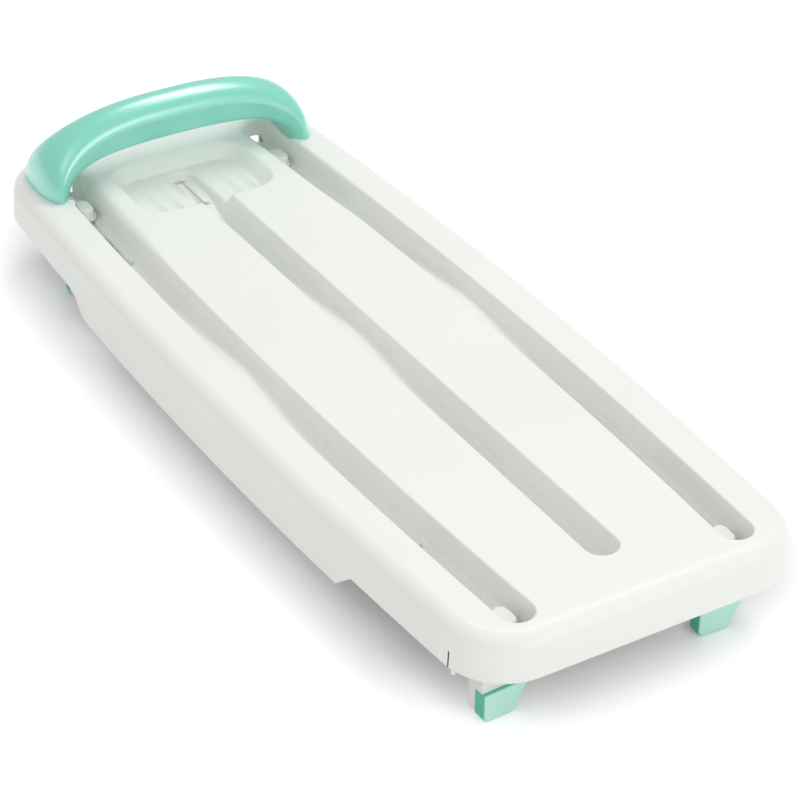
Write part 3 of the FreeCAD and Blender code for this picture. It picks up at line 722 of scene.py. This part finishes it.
def ramp(tree, source, low, high, dark, light):
    """A colour that goes from dark to light as a source value rises."""
    node = tree.nodes.new("ShaderNodeValToRGB")
    node.color_ramp.elements[0].position = low
    node.color_ramp.elements[1].position = high
    node.color_ramp.elements[0].color = (*dark, 1)
    node.color_ramp.elements[1].color = (*light, 1)
    tree.links.new(source, node.inputs["Fac"])
    return node.outputs["Color"]


def spread(tree, source, low, high):
    """A value mapped from 0..1 to a range."""
    node = tree.nodes.new("ShaderNodeMapRange")
    node.inputs["To Min"].default_value = low
    node.inputs["To Max"].default_value = high
    tree.links.new(source, node.inputs["Value"])
    return node.outputs["Result"]


def bump(tree, shader, source, strength, distance):
    """A bump of a real height under a shader."""
    node = tree.nodes.new("ShaderNodeBump")
    node.inputs["Strength"].default_value = strength
    node.inputs["Distance"].default_value = distance
    tree.links.new(source, node.inputs["Height"])
    tree.links.new(node.outputs["Normal"], shader.inputs["Normal"])


# How every finish varies over a surface
CLOUD_SCALE = 9.0
CLOUD_DETAIL = 4.0
CLOUD_EDGES = (0.3, 0.7)
SMEAR_SCALE = 26.0
SMEAR_DETAIL = 5.0
GRAIN_DETAIL = 2.0
GRAIN_STRENGTH = 0.5
COAT_ROUGHNESS = 0.29
COAT_IOR = 2.4


def plastic(name, dark, light, rough, grain_scale, grain_height, coat=0.0):
    """Moulded plastic: cloudy colour, uneven gloss and a fine moulded grain."""
    base = tuple((a + b) / 2 for a, b in zip(dark, light))
    material, tree, shader = new_material(name, base, rough[0])
    cloud = noise(tree, CLOUD_SCALE, CLOUD_DETAIL)
    colour = ramp(tree, cloud.outputs["Fac"], *CLOUD_EDGES, dark, light)
    tree.links.new(colour, shader.inputs["Base Color"])
    smear = noise(tree, SMEAR_SCALE, SMEAR_DETAIL)
    tree.links.new(spread(tree, smear.outputs["Fac"], *rough), shader.inputs["Roughness"])
    grain = noise(tree, grain_scale, GRAIN_DETAIL)
    bump(tree, shader, grain.outputs["Fac"], GRAIN_STRENGTH, grain_height)
    shader.inputs["Coat Weight"].default_value = coat
    shader.inputs["Coat Roughness"].default_value = COAT_ROUGHNESS
    shader.inputs["Coat IOR"].default_value = COAT_IOR
    return material


white_plastic = plastic("white_plastic", dark=(0.84, 0.855, 0.82), light=(0.86, 0.875, 0.84),
                        rough=(0.36, 0.46), grain_scale=900, grain_height=0.00003)
bracket_plastic = plastic("bracket_plastic", dark=(0.85, 0.85, 0.82), light=(0.87, 0.87, 0.84),
                          rough=(0.45, 0.55), grain_scale=900, grain_height=0.00004)
clamp_plastic = plastic("clamp_plastic", dark=(0.83, 0.84, 0.81), light=(0.85, 0.86, 0.83),
                        rough=(0.42, 0.52), grain_scale=900, grain_height=0.00004)
mint_plastic = plastic("mint_plastic", dark=(0.12, 0.65, 0.50), light=(0.14, 0.68, 0.53),
                       rough=(0.40, 0.48), grain_scale=700, grain_height=0.00003, coat=1.0)

# The pads' rubber: its colours, with painted shade on the sides and painted light on the outer
# faces, where a side turns into an outer face, its gloss and its grain
RUBBER_BASE = (0.53, 0.88, 0.78)
RUBBER_SHADED_SIDES = (0.09, 0.52, 0.38), (0.11, 0.56, 0.41)
RUBBER_LIT_FACES = (0.51, 0.87, 0.76), (0.55, 0.90, 0.79)
RUBBER_TURN = (0.45, 0.85)
RUBBER_ROUGH = (0.50, 0.62)
RUBBER_CLOUD_SCALE = 30.0
RUBBER_SMEAR_SCALE = 80.0
RUBBER_GRAIN_SCALE = 1200.0
RUBBER_GRAIN_HEIGHT = 0.00006


def rubber():
    """Matt rubber; its outer faces, which rub on the bath, carry painted light and its sides carry
    painted shade.
    """
    material, tree, shader = new_material("pad_rubber_painted_shade", RUBBER_BASE, RUBBER_ROUGH[0])
    cloud = noise(tree, RUBBER_CLOUD_SCALE, CLOUD_DETAIL)
    # Painted shade and light: sides facing across the board get a darker colour, outer faces a paler
    # lit one
    side = ramp(tree, cloud.outputs["Fac"], *CLOUD_EDGES, *RUBBER_SHADED_SIDES)
    face = ramp(tree, cloud.outputs["Fac"], *CLOUD_EDGES, *RUBBER_LIT_FACES)
    # The mask for the painted shade: the object normal's x part picks outer faces over sides
    place = tree.nodes.new("ShaderNodeTexCoord")
    parts = tree.nodes.new("ShaderNodeSeparateXYZ")
    tree.links.new(place.outputs["Normal"], parts.inputs[0])
    size = tree.nodes.new("ShaderNodeMath")
    size.operation = "ABSOLUTE"
    tree.links.new(parts.outputs[0], size.inputs[0])
    share = tree.nodes.new("ShaderNodeMapRange")
    share.inputs["From Min"].default_value = RUBBER_TURN[0]
    share.inputs["From Max"].default_value = RUBBER_TURN[1]
    tree.links.new(size.outputs[0], share.inputs["Value"])
    mix = tree.nodes.new("ShaderNodeMix")
    mix.data_type = "RGBA"
    tree.links.new(share.outputs["Result"], mix.inputs["Factor"])
    tree.links.new(side, mix.inputs["A"])
    tree.links.new(face, mix.inputs["B"])
    tree.links.new(mix.outputs["Result"], shader.inputs["Base Color"])
    smear = noise(tree, RUBBER_SMEAR_SCALE, CLOUD_DETAIL)
    tree.links.new(spread(tree, smear.outputs["Fac"], *RUBBER_ROUGH), shader.inputs["Roughness"])
    grain = noise(tree, RUBBER_GRAIN_SCALE, GRAIN_DETAIL)
    bump(tree, shader, grain.outputs["Fac"], GRAIN_STRENGTH, RUBBER_GRAIN_HEIGHT)
    return material


pad_rubber_painted_shade = rubber()

STEEL_BASE = (0.62, 0.63, 0.64)
STEEL_START_ROUGH = 0.3
STEEL_ROUGH = (0.24, 0.40)
STEEL_GRAIN_SCALE = 400.0
STEEL_GRAIN_DETAIL = 4.0
STEEL_GRAIN_STRENGTH = 0.4
STEEL_GRAIN_HEIGHT = 0.00002


def steel_material():
    """Bright fastener steel with fine turning marks."""
    material, tree, shader = new_material("steel", STEEL_BASE, STEEL_START_ROUGH)
    shader.inputs["Metallic"].default_value = 1.0
    grain = noise(tree, STEEL_GRAIN_SCALE, STEEL_GRAIN_DETAIL)
    tree.links.new(spread(tree, grain.outputs["Fac"], *STEEL_ROUGH), shader.inputs["Roughness"])
    bump(tree, shader, grain.outputs["Fac"], STEEL_GRAIN_STRENGTH, STEEL_GRAIN_HEIGHT)
    return material


steel = steel_material()


# The board
skin_points, skin_faces = board_skin()
under_points, under_faces = inner_faces("board_shell")
board_points = np.concatenate([skin_points, under_points])
board_faces = skin_faces + [tuple(int(v) + len(skin_points) for v in face) for face in under_faces]
board = make_object("board", board_points, board_faces, white_plastic)
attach(board, "board")
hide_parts("board_shell")

# The handle
SPAN = 104.5
LEG_HALF = 9.5
LEG_REACH = 27.0
FAR_REACH = 36.0
GRIP_HALF = 16.48
ARCH_X = -288.0
ARCH_BASE = 79.0
ARCH_RISE = 47.4
ARCH_POWER = 0.76
SPREAD_POWER = 4
ARCH_STEPS = 96
HANDLE_FOOT = 82.2

# The grip's section: where its upper curve starts, its belly's power, and its slanted front
# as shares of its half sizes, on the arch and on the legs, with where one turns into the other
FRONT_ANGLE = math.radians(6)
ROUND_POINTS = 30
BELLY_POWER = 0.8
BELLY_POINTS = 14
FACE_FADE = (0.35, 0.97)
ARCH_FRONT = ((0.2, -1.0), (0.42, -1.0), (0.58, -0.99), (0.70, -0.955), (0.775, -0.89),
              (0.815, -0.80), (0.85, -0.62), (0.885, -0.42), (0.92, -0.22), (0.948, -0.06),
              (0.968, 0.02), (0.985, 0.06))
LEG_FRONT = ((0.2, -1.0), (0.40, -0.985), (0.54, -0.945), (0.65, -0.875), (0.735, -0.79),
             (0.80, -0.695), (0.852, -0.59), (0.895, -0.475), (0.932, -0.36), (0.962, -0.24),
             (0.982, -0.12), (0.994, 0.0))


def grip_outline(share):
    """The grip's section as shares of its half sizes, from the arch's to the legs'."""
    upper = [(math.cos(a), math.sin(a)) for a in np.linspace(FRONT_ANGLE, math.pi, ROUND_POINTS)]
    lower = [(-abs(math.cos(a)) ** BELLY_POWER, -abs(math.sin(a)) ** BELLY_POWER)
             for a in np.linspace(math.pi, 3 * QUARTER, BELLY_POINTS)[1:]]
    front = (1 - share) * np.array(ARCH_FRONT) + share * np.array(LEG_FRONT)
    return np.concatenate([upper, lower, front])


def make_handle():
    """The arched handle with spread legs, whose feet end inside the board's top wall."""
    points = []
    for angle in np.linspace(0, math.pi, ARCH_STEPS + 1):
        across = math.copysign(abs(math.cos(angle)) ** ARCH_POWER, math.cos(angle))
        up = max(math.sin(angle), 0) ** ARCH_POWER
        outside = np.array([(SPAN + LEG_HALF) * across, ARCH_BASE + (ARCH_RISE + GRIP_HALF) * up])
        inside = np.array([(SPAN - LEG_HALF) * across, ARCH_BASE + (ARCH_RISE - GRIP_HALF) * up])
        centre, radial = (outside + inside) / 2, (outside - inside) / 2
        spread = abs(math.cos(angle)) ** SPREAD_POWER
        fade = np.clip((abs(across) - FACE_FADE[0]) / (FACE_FADE[1] - FACE_FADE[0]), 0, 1)
        outline = grip_outline(ease(fade))
        for u, v in outline:
            y, z = centre + radial * v
            reach = LEG_REACH if u > 0 else FAR_REACH
            points.append((ARCH_X + (GRIP_HALF + (reach - GRIP_HALF) * spread) * u, y, z))
    faces = ring_faces(ARCH_STEPS + 1, len(outline))
    thing = make_object("handle_grip", points, faces, mint_plastic)
    form = bmesh.new()
    form.from_mesh(thing.data)
    geometry = form.verts[:] + form.edges[:] + form.faces[:]
    result = bmesh.ops.bisect_plane(form, geom=geometry, plane_co=(0, 0, HANDLE_FOOT * MM),
                                    plane_no=(0, 0, -1), clear_outer=True)
    rim = [item for item in result["geom_cut"] if isinstance(item, bmesh.types.BMEdge)]
    bmesh.ops.contextual_create(form, geom=rim)
    bmesh.ops.recalc_face_normals(form, faces=form.faces)
    form.to_mesh(thing.data)
    form.free()
    thing.data.shade_smooth()
    thing.data.set_sharp_from_angle(angle=SMOOTH_HANDLE)
    return thing


handle = make_handle()
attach(handle, "board")
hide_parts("handle")

# The clamps' heads
HEAD_LOW = 64.5
HEAD_DISC = 9.4
HEAD_BASE = 2.6
HEAD_TOP = 73.95
WING_REACH = 9.2
WING_HALF = 5.4
HEAD_ROUND = 1.1
HEAD_EDGE_POINTS = 5


def rounded_bar(centre, heading, half_length, half_width, low, high, edge):
    """Rings of a bar with round ends whose top edge is rounded."""
    reach = heading * (half_length - half_width)
    loop = bar_loop(centre - reach, centre + reach, half_width, HEAD_STEP)
    rings = [(0.0, low)]
    for angle in np.linspace(0, QUARTER, HEAD_EDGE_POINTS):
        rings.append((edge * (math.cos(angle) - 1), high - edge + edge * math.sin(angle)))
    rings.append((-half_width + MARGIN, high))
    return [np.column_stack([loop[0] + loop[1] * out, np.full(len(loop[0]), level)])
            for out, level in rings]


def make_clamp_head(foot):
    """A low disc with a wing across it that the fingers turn."""
    low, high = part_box(f"clamp_head_{foot}")
    centre = Vector(((low + high) / 2).xy) / MM
    heading = foot_track(foot)[2]
    points, faces = [], []
    wing = rounded_bar(centre, heading, WING_REACH, WING_HALF, HEAD_LOW, HEAD_TOP, HEAD_ROUND)
    disc = rounded_bar(centre, heading, HEAD_DISC, HEAD_DISC - MARGIN, HEAD_LOW,
                       HEAD_LOW + HEAD_BASE, HEAD_ROUND)
    for rings in (disc, wing):
        count = len(rings[0])
        faces += ring_faces(len(rings), count, len(points))
        points += [tuple(point) for ring in rings for point in ring]
        faces += [tuple(range(len(points) - count, len(points)))]
    head = make_object(f"clamp_wing_{foot}", points, faces, clamp_plastic)
    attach(head, f"clamp_{foot}")
    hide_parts(f"clamp_head_{foot}")


for foot in FEET:
    make_clamp_head(foot)

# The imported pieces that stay: each kind's finish and the width of its soft edges in metres
SOFT_EDGE_SEGMENTS = 3
SOFT_EDGE_ANGLE = math.radians(35)
KINDS = {"bracket_": (bracket_plastic, 0.0005), "pad_": (pad_rubber_painted_shade, 0.0008),
         "clamp_head_": (clamp_plastic, 0), "clamp_bolt_": (steel, 0), "clamp_washer_": (steel, 0),
         "clamp_nut_": (steel, 0), "handle_screws": (steel, 0), "handle_washers": (steel, 0)}

for node, thing in nodes.items():
    thing.data.shade_smooth()
    thing.data.set_sharp_from_angle(angle=SMOOTH_PARTS)
    for kind, (material, edge_width) in KINDS.items():
        if node.startswith(kind):
            thing.data.materials.clear()
            thing.data.materials.append(material)
            if edge_width:
                edge = thing.modifiers.new("soft_edges", "BEVEL")
                edge.width = edge_width
                edge.segments = SOFT_EDGE_SEGMENTS
                edge.angle_limit = SOFT_EDGE_ANGLE
                edge.harden_normals = True

# The camera, at the photograph's place
CAMERA_AZIMUTH = math.radians(-31.53)
CAMERA_ELEVATION = math.radians(33.43)
CAMERA_ROLL = math.radians(0.72)
CAMERA_DISTANCE = 1812.37
CAMERA_RIGHT = 28.22
CAMERA_UP = -50.68
SENSOR = 36.0
FOCAL_PIXELS = 2607.84
FRAME_PIXELS = 800
CLIP = (0.05, 50)


def make_camera():
    """A camera that looks at the middle of the seat, moved aside to frame it as the photo does."""
    out = Vector((math.cos(CAMERA_ELEVATION) * math.cos(CAMERA_AZIMUTH),
                  math.cos(CAMERA_ELEVATION) * math.sin(CAMERA_AZIMUTH), math.sin(CAMERA_ELEVATION)))
    level = (-out).cross(Vector((0, 0, 1))).normalized()
    upright = level.cross(-out)
    right = level * math.cos(CAMERA_ROLL) + upright * math.sin(CAMERA_ROLL)
    up = upright * math.cos(CAMERA_ROLL) - level * math.sin(CAMERA_ROLL)
    place = Vector((0, 0, SEAT)) + out * CAMERA_DISTANCE + level * CAMERA_RIGHT + upright * CAMERA_UP
    data = bpy.data.cameras.new("camera")
    data.sensor_width = SENSOR
    data.lens = FOCAL_PIXELS / FRAME_PIXELS * SENSOR
    camera = bpy.data.objects.new("camera", data)
    bpy.context.scene.collection.objects.link(camera)
    turn = Matrix((right, up, out)).transposed().to_4x4()
    camera.matrix_world = Matrix.Translation(place * MM) @ turn
    data.clip_start, data.clip_end = CLIP
    bpy.context.scene.camera = camera


make_camera()

# Floor, lamps and world
FLOOR_REACH = 6000.0
FLOOR_GREY = 0.86
FLOOR_GLOW = 0.50
# Where the floor's glow is taken off round the board, which also paints a darker shadow on the floor
# there
GLOW_MIDDLE = (-0.06, 0.045, 0.0)
GLOW_HALF = (0.28, 0.065, 0.0)
GLOW_START = 0.055
GLOW_END = 0.145
WORLD_STRENGTH = 0.70

# Each lamp's name, place, target, width and height in metres, and power in watts
LAMPS = (
    ("key", (-0.56, 0.93, 2.00), (-0.15, 0, 0.05), 1.4, 0.42, 14),
    ("front", (2.2, 0.5, 0.9), (0.2, 0, 0.05), 1.2, 0.9, 9.5),
    ("fill", (0.77, -1.10, 1.74), (0, 0, 0.05), 1.2, 1.0, 3.5),
)


def seen_directly(tree):
    """One for camera, glossy and transmission rays, and nought for the light on the object."""
    path = tree.nodes.new("ShaderNodeLightPath")
    first = tree.nodes.new("ShaderNodeMath")
    first.operation = "MAXIMUM"
    second = tree.nodes.new("ShaderNodeMath")
    second.operation = "MAXIMUM"
    tree.links.new(path.outputs["Is Camera Ray"], first.inputs[0])
    tree.links.new(path.outputs["Is Glossy Ray"], first.inputs[1])
    tree.links.new(first.outputs[0], second.inputs[0])
    tree.links.new(path.outputs["Is Transmission Ray"], second.inputs[1])
    return second.outputs[0]


def glow_mask_with_painted_shade(tree):
    """Nought under the board and one round it, so that no glow shows through its openings; this also
    darkens the floor under and just round the board, a painted shadow.
    """
    place = tree.nodes.new("ShaderNodeTexCoord")
    source = place.outputs["Object"]
    for operation, value in (("SUBTRACT", GLOW_MIDDLE), ("ABSOLUTE", None), ("SUBTRACT", GLOW_HALF),
                             ("MAXIMUM", (0, 0, 0)), ("LENGTH", None)):
        step = tree.nodes.new("ShaderNodeVectorMath")
        step.operation = operation
        tree.links.new(source, step.inputs[0])
        if value is not None:
            step.inputs[1].default_value = value
        source = step.outputs["Value" if operation == "LENGTH" else "Vector"]
    edge = tree.nodes.new("ShaderNodeMapRange")
    edge.interpolation_type = "SMOOTHSTEP"
    edge.inputs["From Min"].default_value = GLOW_START
    edge.inputs["From Max"].default_value = GLOW_END
    tree.links.new(source, edge.inputs["Value"])
    return edge.outputs["Result"]


def make_floor():
    """A white floor that keeps the object's shadow."""
    corners = [(-FLOOR_REACH, -FLOOR_REACH, 0), (FLOOR_REACH, -FLOOR_REACH, 0),
               (FLOOR_REACH, FLOOR_REACH, 0), (-FLOOR_REACH, FLOOR_REACH, 0)]
    material = bpy.data.materials.new("floor_white")
    material.use_nodes = True
    tree = material.node_tree
    tree.nodes.clear()
    diffuse = tree.nodes.new("ShaderNodeBsdfDiffuse")
    diffuse.inputs["Color"].default_value = (FLOOR_GREY, FLOOR_GREY, FLOOR_GREY, 1)
    glow = tree.nodes.new("ShaderNodeEmission")
    scale = tree.nodes.new("ShaderNodeMath")
    scale.operation = "MULTIPLY"
    scale.inputs[1].default_value = FLOOR_GLOW
    tree.links.new(seen_directly(tree), scale.inputs[0])
    # Painted shadow: the glow is taken off the floor under and just round the board
    clear = tree.nodes.new("ShaderNodeMath")
    clear.operation = "MULTIPLY"
    tree.links.new(scale.outputs[0], clear.inputs[0])
    tree.links.new(glow_mask_with_painted_shade(tree), clear.inputs[1])
    tree.links.new(clear.outputs[0], glow.inputs["Strength"])
    both = tree.nodes.new("ShaderNodeAddShader")
    out = tree.nodes.new("ShaderNodeOutputMaterial")
    tree.links.new(diffuse.outputs[0], both.inputs[0])
    tree.links.new(glow.outputs[0], both.inputs[1])
    tree.links.new(both.outputs[0], out.inputs["Surface"])
    floor = make_object("floor", corners, [(0, 1, 2, 3)], material)


def make_lamp(name, place, target, width, height, power):
    """A soft rectangular lamp that points at a place."""
    data = bpy.data.lights.new(name, "AREA")
    data.shape = "RECTANGLE"
    data.size, data.size_y = width, height
    data.energy = power
    lamp = bpy.data.objects.new(name, data)
    bpy.context.scene.collection.objects.link(lamp)
    lamp.location = place
    lamp.rotation_euler = (Vector(target) - Vector(place)).to_track_quat("-Z", "Y").to_euler()


def make_world():
    """Even studio light from all round, and white where it is seen."""
    world = bpy.data.worlds.new("studio")
    bpy.context.scene.world = world
    world.use_nodes = True
    tree = world.node_tree
    background = tree.nodes["Background"]
    strength = tree.nodes.new("ShaderNodeMapRange")
    strength.inputs["To Min"].default_value = WORLD_STRENGTH
    strength.inputs["To Max"].default_value = 1.0
    path = tree.nodes.new("ShaderNodeLightPath")
    tree.links.new(path.outputs["Is Camera Ray"], strength.inputs["Value"])
    tree.links.new(strength.outputs["Result"], background.inputs["Strength"])
    background.inputs["Color"].default_value = (1, 1, 1, 1)


make_floor()
make_world()
for lamp in LAMPS:
    make_lamp(*lamp)

bpy.context.scene.view_settings.view_transform = "Standard"
